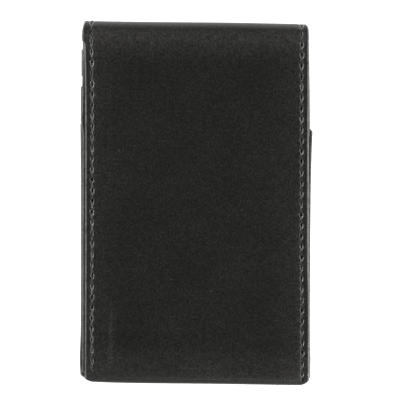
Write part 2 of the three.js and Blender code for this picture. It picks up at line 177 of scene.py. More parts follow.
PITCH = 3.25 * MM
STITCH_COUNT = 72
SEAM_SHIFT = per_side(0.2, 0.35)  # outwards from the CAD's seams
SEAM_FOLLOWS = 0.8  # how much of the waist the seams follow
SEAM_END = {LEFT: SEAM_FULL - 3.3 * MM, RIGHT: SEAM_FULL - 1.0 * MM}
POCKET_SEAM_START = 122 * MM  # where the seams come out again inside, on the face of the pockets
LINING_SEAM_REACH = 24.5 * MM  # how far they run on past the pocket's mouth
RUN_OUT_LENGTH = 1.2 * MM  # over which the thread dives into the leather at its end
RUN_OUT_DEPTH = 0.6 * MM

STRAND_RADIUS = 0.22 * MM
STRAND_SIDES = 8
STRAND_FACET = 0.14 * MM  # the width of one side, in the UV map
STRAND_OVAL = 0.16  # how far a strand is from round
STRAND_HALF_TWIST = 1.3 * MM
LOOP_SPREAD = per_side(0.46, 0.51)
LOOP_START = -0.42  # where each loop leaves its needle hole, in pitches from its middle
LOOP_END = 0.40
LOOP_LEAN = 0.62  # below 1, loops are widest on the side of the spine
LOOP_RISE = 0.42  # the share of a loop over which it comes up out of its hole
LOOP_FALL = 0.16
LOOP_RISE_NEAR = 20 * MM  # nearer to the spine than this, they come up over half that share
LOOP_RISE_CHANGE = 20 * MM  # and this much further on, over all of it
LOOP_DEPTH = 0.08 * MM  # of a strand's middle below the grain side, over the loop
LEFT_PLY_DEPTH = 0.07 * MM  # of the left ply below the right one
HOLE_DEPTH = 0.75 * MM  # of a strand's middle in the needle holes

TROUGH_DEPTH = 0.14 * MM  # that the seam presses into the leather
TROUGH_SPREAD = 0.85 * MM
TROUGH_RIPPLE = 0.25
EYE_DEPTH = 0.65 * MM  # of the hollow in the middle of each loop
EYE_SPREAD = 0.27 * MM
EYE_LENGTH = 0.6 * MM
EYE_PLACE = -0.08  # in pitches from the loop's middle
NEEDLE_DEPTH = 0.45 * MM  # of the holes between the loops
NEEDLE_SPREAD = 0.3 * MM
NEEDLE_LENGTH = 0.45 * MM
OUTER_PUCKER_DEPTH = 0.08 * MM  # small dents beside the seam
OUTER_PUCKER_X = 0.85 * MM
OUTER_PUCKER_SPREAD = 0.4 * MM
INNER_PUCKER_DEPTH = 0.07 * MM
INNER_PUCKER_X = -1.0 * MM
INNER_PUCKER_SPREAD = 0.5 * MM
INNER_PUCKER_PHASE = 0.6

rng = np.random.default_rng(7)
LOOP_WIDTHS = {side: rng.uniform(0.75, 1.2, STITCH_COUNT) for side in SIDES}
LOOP_SHIFTS = {side: rng.uniform(-0.1, 0.1, STITCH_COUNT) * MM for side in SIDES}
LOOP_DIPS = {(side, strand): rng.uniform(0.0, 0.3, STITCH_COUNT) * MM for side in SIDES for strand in (-1, 1)}
SUNK_STITCH = 2  # one stitch near the spine has sunk into the leather
SUNK_DIP = 0.6 * MM
for sunk_strand in (-1, 1):
    LOOP_DIPS[LEFT, sunk_strand][SUNK_STITCH] = SUNK_DIP

# ---- Linings and card slots ----

LINING_CORNER = 1.1 * MM
LINING_SHRINK = per_side(0.0, 0.13)
LINING_FLARE = per_side(0.43, 0.34)  # at the pocket's mouth, over this length below it
LINING_FLARE_LENGTH = 4 * MM
LINING_MIDDLE_FLARE = per_side(0.15, 0.20)  # and half way from there to its top edge
SLOT_BODY_HALF_WIDTH = 29 * MM
SLOT_TAB_DEPTH = 8.3 * MM
SLOT_TURN = 0.5 * MM  # the size of a tab's lower corners
# How much narrower each slot's tab is than the pockets, the size of its upper corners, and how far it reaches
# below its CAD solid's.
SLOT_TABS = {
    "upper": {"shrink": per_side(0.28, 0.75), "shoulder": 0.7 * MM, "foot": 0.9 * MM},
    "lower": {"shrink": per_side(0.07, 0.50), "shoulder": 1.0 * MM, "foot": 4.0 * MM},
}
SHEET_CREASE_INSET = 1.6 * MM  # from a sheet's top edge to the line pressed into it
SHEET_SWELL = 0.02 * MM
SHEET_SWELL_X = 7 * MM

# ---- How finely it is drawn ----

ROWS_PER_STITCH = 10
POCKET_ROWS_PER_STITCH = 7
STRAND_ROWS_PER_STITCH = 14
SHEET_ROW = 1.2 * MM
END_ROW = 0.1 * MM  # s between the rows of a rounded end
SEAM_BAND = 0.8 * MM  # on each side of a seam, where columns lie close together
EDGE_BAND = 1.1 * MM  # the least room between a seam and the edge's rounding
FIXED_COLUMN = 29.6 * MM  # columns nearer the middle than this keep their place on every row
NEAR_COLUMNS = [30.2 * MM, 30.6 * MM, 30.9 * MM]
SEAM_COLUMNS = SEAM_X + np.linspace(-1, 1, 13) * SEAM_BAND
EDGE_COLUMNS = [SPINE_HALF_WIDTH - 0.9 * MM, SPINE_HALF_WIDTH - EDGE_DOME]
COLUMNS = np.concatenate([np.linspace(0, FIXED_COLUMN, 12), NEAR_COLUMNS, SEAM_COLUMNS, EDGE_COLUMNS])
SHEET_COLUMNS = np.linspace(0, 1, 10)
INNER_SHARES = np.linspace(1, -1, 13)
GRAIN, CUT_EDGE, FLESH_SIDE = 0, 1, 2  # a strip's material slots

# ---- Painted sheen, highlight and side light on the cover, and one streak: (start, where it is full) as distances along the leather or across it ----

UV_UNIT = 10 * MM  # the length that one unit of the leather's UV map stands for
# painted sheen: lighter colour where the leather curves over the spine's bend and crest, standing for the
# light it catches there
BEND_SHEEN = (16.5 * MM, 8.5 * MM)
CREST_SHEEN_NEAR = (5.6 * MM, 7.4 * MM)
CREST_SHEEN_FAR = (10.4 * MM, 8.2 * MM)
CREST_SHEEN = 0.6
# painted highlight: lighter colour above the bottom fold, where the leather curves away
FOLD_HIGHLIGHT_NEAR = (100 * MM, 110 * MM)
FOLD_HIGHLIGHT_FAR = (114 * MM, 110 * MM)
FOLD_HIGHLIGHT = 0.80
# painted side light: lighter colour towards the cover's sides, standing for the sheen of the side lamps
SIDE_SHEEN_ACROSS = (20 * MM, 32 * MM)
SIDE_SHEEN = 0.45
SMEAR_X = -26.0 * MM  # one faint streak low on the left
SMEAR_S = 100 * MM
SMEAR_ACROSS = (1.3 * MM, 0.0)
SMEAR_ALONG = (11 * MM, 5 * MM)
SMEAR = 1.1
# the grey that the painted sheen, highlight and side light, and the streak, lift the cover's colour towards
PAINTED_LIGHT_AND_STREAK_COLOUR = (0.085, 0.082, 0.078, 1)
SPECK_COLOUR = (0.5, 0.49, 0.47, 1)
SPECK_SPACING = 5.5 * MM

# ---- Shader helpers ----


def new_material(name):
    material = bpy.data.materials.new(name)
    material.use_nodes = True
    tree = material.node_tree
    return material, tree, tree.nodes["Principled BSDF"]


def connect(tree, node, **inputs):
    """Sets a node's sockets to numbers, or links them to other nodes' outputs. i3 is its input number 3."""
    for key, value in inputs.items():
        numbered = key[0] == "i" and key[1:].isdigit()
        socket = node.inputs[int(key[1:]) if numbered else key.replace("_", " ")]
        if isinstance(value, bpy.types.NodeSocket):
            tree.links.new(value, socket)
        else:
            socket.default_value = value


def add(tree, kind, settings=None, **inputs):
    """A new node, with its properties from settings."""
    node = tree.nodes.new(kind)
    for key, value in (settings or {}).items():
        setattr(node, key, value)
    connect(tree, node, **inputs)
    return node


def ramp(tree, factor, *stops):
    """A colour ramp through (position, grey or colour) stops."""
    node = add(tree, "ShaderNodeValToRGB", Fac=factor)
    elements = node.color_ramp.elements
    while len(elements) < len(stops):
        elements.new(0.5)
    for element, (position, colour) in zip(elements, stops):
        element.position = position
        element.color = (*colour, 1) if isinstance(colour, tuple) else (colour, colour, colour, 1)
    return node.outputs["Color"]


def mix(tree, factor, a, b, blend="MIX"):
    node = add(tree, "ShaderNodeMix", {"data_type": "RGBA", "blend_type": blend}, i0=factor, i6=a, i7=b)
    return node.outputs[2]


def maths(tree, operation, a, b=0.0, c=0.0):
    return add(tree, "ShaderNodeMath", {"operation": operation}, i0=a, i1=b, i2=c).outputs[0]


def product(tree, first, *others):
    for other in others:
        first = maths(tree, "MULTIPLY", first, other)
    return first


def total(tree, first, *others):
    for other in others:
        first = maths(tree, "ADD", first, other)
    return first


def away_from(tree, value, place):
    """The distance of a UV coordinate from a place in metres."""
    return maths(tree, "ABSOLUTE", maths(tree, "SUBTRACT", value, place / UV_UNIT))


def fade(tree, value, span):
    """0 where a UV distance is the span's start, 1 where it is its end, and smooth in between."""
    node = add(tree, "ShaderNodeMapRange", {"interpolation_type": "SMOOTHSTEP"}, Value=value,
               From_Min=span[0] / UV_UNIT, From_Max=span[1] / UV_UNIT)
    return node.outputs["Result"]


def noise(tree, vector, size, detail=3.0, roughness=0.55, unit=UV_UNIT):
    """Noise with features about size metres across, on a vector with one unit to every unit metres."""
    node = add(tree, "ShaderNodeTexNoise", Vector=vector, Scale=unit / size, Detail=detail,
               Roughness=roughness)
    return node.outputs["Fac"]


def stretched(tree, vector, scale, turn_deg=0.0):
    node = add(tree, "ShaderNodeMapping", Vector=vector, Scale=scale, Rotation=(0, 0, math.radians(turn_deg)))
    return node.outputs["Vector"]


def set_relief(tree, shader, height, strength, distance):
    node = add(tree, "ShaderNodeBump", Height=height, Strength=strength, Distance=distance)
    tree.links.new(node.outputs["Normal"], shader.inputs["Normal"])


def leather_uv(tree):
    return add(tree, "ShaderNodeUVMap", {"uv_map": "Leather"}).outputs["UV"]


# ---- Materials ----


def painted_light_and_streak(tree, uv, mottle, speckle):
    """How much the cover's colour is painted lighter: painted sheen over the spine's bend and crest, a
    painted highlight above the bottom fold, painted side light along its sides, and one faint streak.
    """
    place = add(tree, "ShaderNodeSeparateXYZ", Vector=uv)
    along = away_from(tree, place.outputs["Y"], 0.0)
    across = away_from(tree, place.outputs["X"], 0.0)
    # painted sheen over the spine's bend and crest
    bend = fade(tree, along, BEND_SHEEN)
    crest = product(tree, fade(tree, along, CREST_SHEEN_NEAR), fade(tree, along, CREST_SHEEN_FAR), CREST_SHEEN)
    # painted highlight above the bottom fold
    fold = product(tree, fade(tree, along, FOLD_HIGHLIGHT_NEAR), fade(tree, along, FOLD_HIGHLIGHT_FAR), FOLD_HIGHLIGHT)
    # painted side light along the sides
    side = product(tree, fade(tree, across, SIDE_SHEEN_ACROSS), SIDE_SHEEN)
    smear_across = fade(tree, away_from(tree, place.outputs["X"], SMEAR_X), SMEAR_ACROSS)
    smear_along = fade(tree, away_from(tree, along, SMEAR_S), SMEAR_ALONG)
    colour_lift = total(tree, bend, crest, fold, side, product(tree, smear_across, smear_along, SMEAR))
    return product(tree, colour_lift, ramp(tree, speckle, (0.38, 0.35), (0.66, 1.0)),
                   ramp(tree, mottle, (0.36, 0.45), (0.66, 1.0)))


def grain_height(tree, uv, pebble):
    """A fine pebble grain with pores and hairline creases."""
    wobble = add(tree, "ShaderNodeTexNoise", Vector=uv, Scale=UV_UNIT / (1.2 * MM), Detail=2.0)
    bent = mix(tree, 0.035, uv, wobble.outputs["Color"], "ADD")
    cells = add(tree, "ShaderNodeTexVoronoi", {"feature": "DISTANCE_TO_EDGE"}, Vector=bent,
                Scale=UV_UNIT / pebble)
    pebbles = ramp(tree, cells.outputs["Distance"], (0.0, 0.0), (0.22, 1.0))
    pores = noise(tree, uv, size=0.22 * MM, detail=4, roughness=0.7)
    creases = add(tree, "ShaderNodeTexNoise", {"noise_type": "RIDGED_MULTIFRACTAL"}, Vector=bent,
                  Scale=UV_UNIT / (3.5 * MM), Detail=4.0)
    return total(tree, product(tree, pebbles, 0.45), product(tree, pores, 0.55),
                 product(tree, creases.outputs["Fac"], -0.12))


def leather_material(name, dark, light, roughness, grain, pebble=0.5 * MM, lift_strength=0.0):
    """Aniline-black leather: mottled, pebble-grained, with a few pale specks, and greyer where sheen,
    highlight and side light are painted in and along one streak.
    """
    material, tree, shader = new_material(name)
    uv = leather_uv(tree)
    drawn = stretched(tree, uv, (1.0, 0.7, 1.0))
    cloud = noise(tree, uv, size=14 * MM, detail=4)
    mottle = noise(tree, drawn, size=1.6 * MM, detail=5, roughness=0.7)
    speckle = noise(tree, drawn, size=0.50 * MM, detail=2)
    tone = total(tree, product(tree, cloud, 0.5), product(tree, mottle, 0.5))
    colour = ramp(tree, tone, (0.38, dark), (0.64, light))
    colour = mix(tree, 1.0, colour, ramp(tree, speckle, (0.36, 0.42), (0.50, 0.88), (0.64, 1.78)), "MULTIPLY")
    cells = add(tree, "ShaderNodeTexVoronoi", Vector=uv, Scale=UV_UNIT / SPECK_SPACING)
    speck = product(tree, ramp(tree, cells.outputs["Distance"], (0.0, 1.0), (0.04, 0.0)),
                    ramp(tree, cells.outputs["Color"], (0.45, 0.15), (0.75, 0.6)))
    colour = mix(tree, speck, colour, SPECK_COLOUR)
    # painted sheen, highlight and side light, and one streak, lighten the colour
    if lift_strength:
        colour = mix(tree, product(tree, painted_light_and_streak(tree, uv, mottle, speckle), lift_strength), colour, PAINTED_LIGHT_AND_STREAK_COLOUR)
    gloss = maths(tree, "MULTIPLY_ADD", mottle, 0.22, roughness - 0.11)
    connect(tree, shader, Base_Color=colour, Roughness=gloss, Specular_IOR_Level=0.32)
    set_relief(tree, shader, grain_height(tree, uv, pebble), grain, 0.05 * MM)
    return material


def edge_material():
    """The burnished, waxed cut edge: glossy, faintly layered along the leather."""
    material, tree, shader = new_material("burnished_edge")
    uv = leather_uv(tree)
    layers = noise(tree, stretched(tree, uv, (5.0, 1.0, 1.0)), size=1.2 * MM, detail=4, roughness=0.65)
    spots = noise(tree, uv, size=2.4 * MM)
    colour = ramp(tree, product(tree, total(tree, layers, spots), 0.5),
                  (0.38, (0.045, 0.0442, 0.0425)), (0.64, (0.175, 0.171, 0.165)))
    gloss = ramp(tree, layers, (0.3, 0.24), (0.7, 0.44))
    connect(tree, shader, Base_Color=colour, Roughness=gloss, Specular_IOR_Level=0.6)
    set_relief(tree, shader, layers, 0.35, 0.06 * MM)
    return material


def flesh_material():
    """The leather's brushed flesh side, dyed through."""
    material, tree, shader = new_material("flesh_side")
    uv = leather_uv(tree)
    nap = noise(tree, uv, size=0.35 * MM, detail=5, roughness=0.75)
    patches = noise(tree, uv, size=6 * MM)
    tone = total(tree, product(tree, nap, 0.6), product(tree, patches, 0.4))
    colour = ramp(tree, tone, (0.35, (0.015, 0.0144, 0.0137)), (0.68, (0.048, 0.046, 0.043)))
    connect(tree, shader, Base_Color=colour, Roughness=0.92, Specular_IOR_Level=0.2, Sheen_Weight=0.15)
    set_relief(tree, shader, nap, 0.6, 0.08 * MM)
    return material


def thread_material():
    """Waxed black thread: fine slanting fibres with a soft shine."""
    material, tree, shader = new_material("waxed_thread")
    uv = leather_uv(tree)
    fibres = noise(tree, stretched(tree, uv, (3.0, 1.0, 1.0), 35), size=0.3 * MM, roughness=0.6)
    wax = noise(tree, uv, size=3.5 * MM, detail=2)
    colour = ramp(tree, fibres, (0.35, (0.026, 0.0256, 0.0248)), (0.65, (0.190, 0.187, 0.180)))
    colour = mix(tree, 1.0, colour, ramp(tree, wax, (0.38, 0.45), (0.62, 1.5)), "MULTIPLY")
    gloss = ramp(tree, fibres, (0.3, 0.20), (0.7, 0.38))
    connect(tree, shader, Base_Color=colour, Roughness=gloss, Specular_IOR_Level=0.6, Sheen_Weight=0.2)
    set_relief(tree, shader, fibres, 0.5, 0.04 * MM)
    return material


def metal_material(name, dark, light, roughness_range, scale):
    """Brushed metal, with scratches drawn out along the axis whose scale is small, and slight tarnish."""
    material, tree, shader = new_material(name)
    place = add(tree, "ShaderNodeTexCoord").outputs["Object"]
    brushing = noise(tree, stretched(tree, place, scale), size=0.5 * MM, detail=5, roughness=0.7, unit=1)
    tarnish = noise(tree, place, size=5 * MM, detail=4, roughness=0.6, unit=1)
    colour = ramp(tree, tarnish, (0.35, dark), (0.62, light))
    gloss = ramp(tree, brushing, (0.3, roughness_range[0]), (0.7, roughness_range[1]))
    connect(tree, shader, Base_Color=colour, Roughness=gloss, Metallic=1.0)
    set_relief(tree, shader, brushing, 0.25, 0.01 * MM)
    return material


COVER_LEATHER = leather_material(
    "black_cover_leather", dark=(0.0062, 0.0060, 0.0050), light=(0.0128, 0.0124, 0.0107),
    roughness=0.42, grain=0.55, lift_strength=0.30)
LINING_LEATHER = leather_material(
    "black_lining_leather", dark=(0.0120, 0.0116, 0.0112), light=(0.0210, 0.0203, 0.0196),
    roughness=0.58, grain=0.30, pebble=0.38 * MM)
EDGE = edge_material()
FLESH = flesh_material()
THREAD = thread_material()
ALONG_X = (0.03, 1.0, 1.0)  # draws the scratches out
STEEL = metal_material("brushed_steel", (0.50, 0.505, 0.51), (0.66, 0.665, 0.67), (0.22, 0.40), ALONG_X)
SPRING_STEEL = metal_material("spring_steel", (0.22, 0.23, 0.26), (0.38, 0.39, 0.42), (0.28, 0.46), ALONG_X)
BRASS = metal_material("rivet_brass", (0.42, 0.30, 0.14), (0.68, 0.52, 0.27), (0.20, 0.38), (1.0, 1.0, 1.0))

# ---- The strip's side view ----


def spaced(start, end, step):
    """Evenly spaced values from start to end, about step apart."""
    count = max(2, int(round(abs(end - start) / step)) + 1)
    return np.linspace(start, end, count)


def upright(point):
    return point


def flipped(point):
    """The front half is turned upside down, to hang from the spine."""
    return np.array((point[0], THICKNESS - point[1]))


def rounded_end(outer, inner, out_way):
    """Rows that round an end over: (outer point, inner point, how much narrower it is on each side)."""
    middle = (outer + inner) / 2
    half = (outer - inner) / 2
    rows = []
    for angle in END_ANGLES:
        centre = middle + out_way * EDGE_DOME * math.sin(angle)
        shift = half * math.cos(angle)
        rows.append((centre + shift, centre - shift, EDGE_DOME * (1 - math.cos(angle))))
    return rows


def spine_rows(start_deg, end_deg):
    """Rows round part of the spine. The end steps are small, so that the next piece runs on smoothly."""
    small = 0.4
    between = np.linspace(start_deg, end_deg, 16)[1:-1]
    angles = [start_deg, start_deg + small, *between, end_deg - small, end_deg]
    rows = []
    for angle in np.radians(angles):
        way = direction(angle)
        rows.append((SPINE_CENTRE + way * SPINE_RADIUS, SPINE_CENTRE + way * (SPINE_RADIUS - LEATHER)))
    return rows


def half_line(stack, fold_reach):
    """The back half's rows, from the pocket's edge, round the bottom fold and to the spine's first crease."""
    mouth_y = POCKET_TOP_Y - EDGE_DOME
    creased = list(mouth_y - CREASE_INSET + np.linspace(-3, 3, 13) * CREASE_SPREAD)
    fold_y = BOTTOM_Y + fold_reach
    half = stack / 2
    centre = np.array((fold_y, half))
    rows = []
    for y in [mouth_y, *creased[::-1], *spaced(creased[0], fold_y, PITCH / POCKET_ROWS_PER_STITCH)[1:]]:
        rows.append((np.array((y, stack)), np.array((y, stack - LEATHER))))
    for angle in np.radians(np.linspace(90, 270, 31)[1:-1]):
        way = direction(angle)
        inner_reach = (fold_reach - LEATHER, half - LEATHER)
        rows.append((centre + way * (fold_reach, half), centre + way * inner_reach))
    for y in spaced(fold_y, SPINE_Y, PITCH / ROWS_PER_STITCH):
        rows.append((np.array((y, 0.0)), np.array((y, LEATHER))))
    return rows + spine_rows(-90, -90 + SPINE_STEP_DEG)[1:]


def grain_points(rows):
    return np.array([row[0] for row in rows])


def distances(points, last):
    """Each point's s, counted along the line from the last point, whose s is last."""
    steps = np.linalg.norm(np.diff(points, axis=0), axis=1)
    return last + np.concatenate([np.cumsum(steps[::-1])[::-1], [0.0]])


# ---- Its width and the relief of its grain side ----


def waist(side, s):
    """How much narrower one side of the panel gets, at a distance from the spine's middle."""
    drawn_in = WAIST[side] * (1 - np.exp(-np.maximum(0, np.abs(s) - SPINE_ARC) / WAIST_LENGTH))
    return drawn_in - FLARE[side] * smooth((np.abs(s) - FLARE_START) / FLARE_LENGTH)


def seam_x(side, s):
    return SEAM_X + SEAM_SHIFT[side] - SEAM_FOLLOWS * waist(side, s)


def panel_half_width(side, s):
    full = SPINE_HALF_WIDTH + SPINE_EXTRA[side] - waist(side, s)
    full -= SHOULDER[side] * smooth((abs(s) - SPINE_ARC - SHOULDER_START[side]) / SHOULDER_LENGTH)
    return full - TOP_ROUNDING[side] * smooth(1 - abs(s) / TOP_ROUNDING_REACH[side])


def pocket_half_width(side, y):
    full = POCKET_HALF_WIDTH - POCKET_SHRINK[side]
    full += MOUTH_BULGE[side] * math.exp(-max(0, POCKET_TOP_Y - y) / MOUTH_BULGE_LENGTH)
    full -= MOUTH_CORNER[side] * smooth(1 - (POCKET_TOP_Y - y) / MOUTH_CORNER_LENGTH)
    return full + FOOT_BULGE[side] * bump((y - BOTTOM_Y - FOOT_BULGE_HEIGHT) / FOOT_BULGE_SPREAD)


def cover_half_width(side, y, s, in_pocket=False):
    """The leather's width on one side of the middle, with its bottom corners cut."""
    full = pocket_half_width(side, y) if in_pocket else panel_half_width(side, s)
    narrow = POCKET_HALF_WIDTH - CORNER_REACH
    rise = min(1.0, max(0.0, (y - BOTTOM_Y) / CORNER_HEIGHT[side]))
    bow = (1 - (1 - rise) ** CORNER_POWER[side]) ** (1 / CORNER_POWER[side])
    return min(full, narrow + (max(full, POCKET_HALF_WIDTH) - narrow) * bow)


def seam_phase(s):
    """Each stitch's number, and the place in it from -0.5 to 0.5."""
    turns = np.abs(s) / PITCH
    number = np.minimum(np.round(turns).astype(int), STITCH_COUNT - 1)
    return number, turns - np.round(turns)


def by_side(x, values):
    return np.where(x < 0, values[LEFT], values[RIGHT])


def seam_relief(across, place):
    """How far a seam pulls the leather down: its trough, eyes and needle holes, and the puckers beside it."""
    wave = np.cos(2 * math.pi * place)
    trough = TROUGH_DEPTH * bump(across / TROUGH_SPREAD) * (1 + TROUGH_RIPPLE * wave)
    eye = EYE_DEPTH * bump(across / EYE_SPREAD) * bump((place - EYE_PLACE) * PITCH / EYE_LENGTH)
    needle = NEEDLE_DEPTH * bump(across / NEEDLE_SPREAD) * bump((0.5 - np.abs(place)) * PITCH / NEEDLE_LENGTH)
    outer_pucker = bump((across - OUTER_PUCKER_X) / OUTER_PUCKER_SPREAD) * (0.5 - 0.5 * wave)
    late_wave = np.cos(2 * math.pi * place + INNER_PUCKER_PHASE)
    inner_pucker = bump((across - INNER_PUCKER_X) / INNER_PUCKER_SPREAD) * (0.5 + 0.5 * late_wave)
    return trough + eye + needle + OUTER_PUCKER_DEPTH * outer_pucker + INNER_PUCKER_DEPTH * inner_pucker


def face_relief(x, s, across):
    """How far the face falls away towards its sides, with the crest's wave and a slow swell."""
    slope = by_side(x, EDGE_SLOPE) * (1 - bump(s / LEVEL_CREST))
    slope = slope * sum(share * smooth((across + start) / length) for share, start, length in SLOPE_STEPS)
    crest = CREST_WAVE * np.cos(math.pi * (x - CREST_LOW_X) / CREST_HALF_WAVE) * bump(s / CREST_WAVE_SPREAD)
    swell = SWELL * (1 + np.sin(x / SWELL_X + 0.7) * np.sin(s / SWELL_S + 0.4))
    return slope + crest + swell * smooth(-across / SWELL_FADE)


def cover_relief(x, s):
    """How far the grain side lies below a flat face."""
    across = np.abs(x) - np.where(x < 0, seam_x(LEFT, s), seam_x(RIGHT, s))
    sewn = smooth((by_side(x, SEAM_END) - np.abs(s)) / MM) + smooth((np.abs(s) - POCKET_SEAM_START) / MM)
    _, place = seam_phase(s)
    return np.minimum(face_relief(x, s, across) + sewn * seam_relief(across, place), DEEPEST)


def cover_columns(side, s, reach):
    """One side's columns for a row: they follow the seam, and close up where the row is narrow."""
    seam = float(seam_x(side, s))
    targets = np.array([FIXED_COLUMN, seam - SEAM_BAND, seam + SEAM_BAND, max(reach, seam + EDGE_BAND)])
    squeeze = min(1.0, (reach - FIXED_COLUMN) / (seam + EDGE_BAND - FIXED_COLUMN))
    targets = FIXED_COLUMN + (targets - FIXED_COLUMN) * squeeze
    placed = np.interp(COLUMNS, [FIXED_COLUMN, SEAM_X - SEAM_BAND, SEAM_X + SEAM_BAND, COLUMNS[-1]], targets)
    return np.where(COLUMNS > FIXED_COLUMN, placed, COLUMNS)


def sheet_columns(side, s, reach):
    return SHEET_COLUMNS * reach


# ---- Meshes ----


def strip_loop(row, widths, at, relief, columns_for):
    """One row's points: over the grain side, round the right edge, back along the flesh side and round the
    left edge. Also how many of them lie on the grain side."""
    outer, inner = row
    left, right = widths[0] - EDGE_DOME, widths[1] - EDGE_DOME
    top_x = np.concatenate([-columns_for(LEFT, at, left)[::-1], columns_for(RIGHT, at, right)[1:]])
    top_depth = relief(top_x, np.full_like(top_x, at)) / LEATHER
    dome_x = EDGE_DOME * np.cos(EDGE_ANGLES)
    dome_share = (1 + np.sin(EDGE_ANGLES)) / 2
    right_depth = top_depth[-1] + (1 - top_depth[-1]) * dome_share
    left_depth = top_depth[0] + (1 - top_depth[0]) * dome_share
    under_x = np.where(INNER_SHARES > 0, INNER_SHARES * right, INNER_SHARES * left)
    x = np.concatenate([top_x, right + dome_x, under_x, -left - dome_x[::-1]])
    depth = np.concatenate([top_depth, right_depth, np.ones_like(under_x), left_depth[::-1]])
    return np.column_stack([x, outer[None, :] + depth[:, None] * (inner - outer)[None, :]]), len(top_x)


def loop_lengths(loop, top_count):
    """The distance round a loop to each point and back to the first, 0 in the middle of the grain side."""
    gaps = np.linalg.norm(loop - np.roll(loop, 1, axis=0), axis=1)
    return np.cumsum(np.concatenate([[0.0], gaps[1:], gaps[:1]])) - gaps[1 : top_count // 2 + 1].sum()


def sweep(name, rows, half_widths, s, relief, columns_for=cover_columns):
    """A closed strip of leather over the rows. Its UV map is the distance round each loop and s."""
    loops = []
    lengths = []
    for row, widths, at in zip(rows, half_widths, s):
        loop, top_count = strip_loop(row, widths, at, relief, columns_for)
        loops.append(loop)
        lengths.append(loop_lengths(loop, top_count))
    count = len(loops[0])
    edge_kinds = [CUT_EDGE] * (len(EDGE_ANGLES) + 1)
    kinds = [GRAIN] * (top_count - 1) + edge_kinds + [FLESH_SIDE] * (len(INNER_SHARES) - 1) + edge_kinds
    faces = []
    face_kinds = []
    uvs = []
    for r in range(len(loops) - 1):
        for c in range(count):
            d = (c + 1) % count
            faces.append((r * count + c, r * count + d, (r + 1) * count + d, (r + 1) * count + c))
            face_kinds.append(kinds[c])
            uvs += [(lengths[r][c], s[r]), (lengths[r][c + 1], s[r]),
                    (lengths[r + 1][c + 1], s[r + 1]), (lengths[r + 1][c], s[r + 1])]
    for r in (0, len(loops) - 1):
        faces.append(tuple(range(r * count, (r + 1) * count)))
        face_kinds.append(CUT_EDGE)
        uvs += [(lengths[r][c], s[r]) for c in range(count)]
    return leather_object(name, np.concatenate(loops), faces, face_kinds, uvs)


def leather_object(name, vertices, faces, face_kinds, uvs, materials=None, sharp_deg=50):
    mesh = bpy.data.meshes.new(name)
    skewed = np.array(vertices, float)
    skewed[:, 1] -= SKEW * skewed[:, 0]
    mesh.from_pydata([tuple(v) for v in skewed], [], faces)
    layer = mesh.uv_layers.new(name="Leather")
    layer.data.foreach_set("uv", (np.array(uvs, float) / UV_UNIT).ravel())
    mesh.polygons.foreach_set("material_index", face_kinds)
    for material in materials or (COVER_LEATHER, EDGE, FLESH):
        mesh.materials.append(material)
    work = bmesh.new()
    work.from_mesh(mesh)
    bmesh.ops.recalc_face_normals(work, faces=work.faces)
    work.to_mesh(mesh)
    work.free()
    mesh.shade_smooth()
    mesh.set_sharp_from_angle(angle=math.radians(sharp_deg))
    made = bpy.data.objects.new(name, mesh)
    bpy.context.scene.collection.objects.link(made)
    return made


# ---- The cover and the spine ----


def bend(piece, bodies, start_deg, turn):
    """Bakes the piece's transform into its mesh. The crease points that it works out, and the bodies, are not
    used.
    """
    for angle in np.radians((start_deg, start_deg + SPINE_STEP_DEG)):
        turn(SPINE_CENTRE + SPINE_RADIUS * direction(angle))
    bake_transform(piece)


def cover_piece(name, stack, fold_reach, turn, bodies, nodes):
    """One panel with its turned-in pocket, as far as the spine's first crease."""
    rows = half_line(stack, fold_reach)
    outer = grain_points(rows)
    s = distances(outer, PANEL_START)
    in_pocket = outer[:, 1] > stack / 2
    widths = [[cover_half_width(side, y, at, pocket) for side in SIDES]
              for y, at, pocket in zip(outer[:, 0], s, in_pocket)]
    mouth_s = s[0]
    start = rounded_end(*rows[0], np.array((1.0, 0.0)))[::-1]
    rows = [row[:2] for row in start] + rows
    widths = [[width - row[2] for width in widths[0]] for row in start] + widths
    s = np.concatenate([s[0] + np.arange(len(start), 0, -1) * END_ROW, s])
    rows = [(turn(a), turn(b)) for a, b in rows]

    def relief(x, at):
        return cover_relief(x, at) + CREASE_DEPTH * bump((at - mouth_s + CREASE_INSET) / CREASE_SPREAD)

    made = sweep(name, rows, widths, s, relief)
    bend(made, bodies, -90, turn)
    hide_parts(*nodes)
    return made


def spine_piece(name, turn, bodies, nodes):
    """A quarter of the spine's bend, from one of its creases to its middle."""
    rows = [(turn(a), turn(b)) for a, b in spine_rows(-90 + SPINE_STEP_DEG, 0)]
    s = distances(grain_points(rows), 0.0)
    widths = [[cover_half_width(side, SPINE_Y, at) for side in SIDES] for at in s]
    made = sweep(name, rows, widths, s, cover_relief)
    bend(made, bodies, -90 + SPINE_STEP_DEG, turn)
    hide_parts(*nodes)
    return made


# ---- The seams' thread ----


def strand_line(side, strand, s):
    """Where one of a seam's two plies runs: how far across from the seam's middle line, and how deep."""
    number, place = seam_phase(s)
    along = np.clip((place - LOOP_START) / (LOOP_END - LOOP_START), 0, 1)
    spread = LOOP_SPREAD[side] * LOOP_WIDTHS[side][number] * np.sin(math.pi * along**LOOP_LEAN)
    rise = LOOP_RISE * (0.5 + 0.5 * smooth((np.abs(s) - LOOP_RISE_NEAR) / LOOP_RISE_CHANGE))
    risen = smooth(along / rise) * smooth((1 - along) / LOOP_FALL)
    top = LOOP_DEPTH + LOOP_DIPS[side, strand][number] + (LEFT_PLY_DEPTH if strand < 0 else 0.0)
    return strand * spread + LOOP_SHIFTS[side][number], HOLE_DEPTH + (top - HOLE_DEPTH) * risen


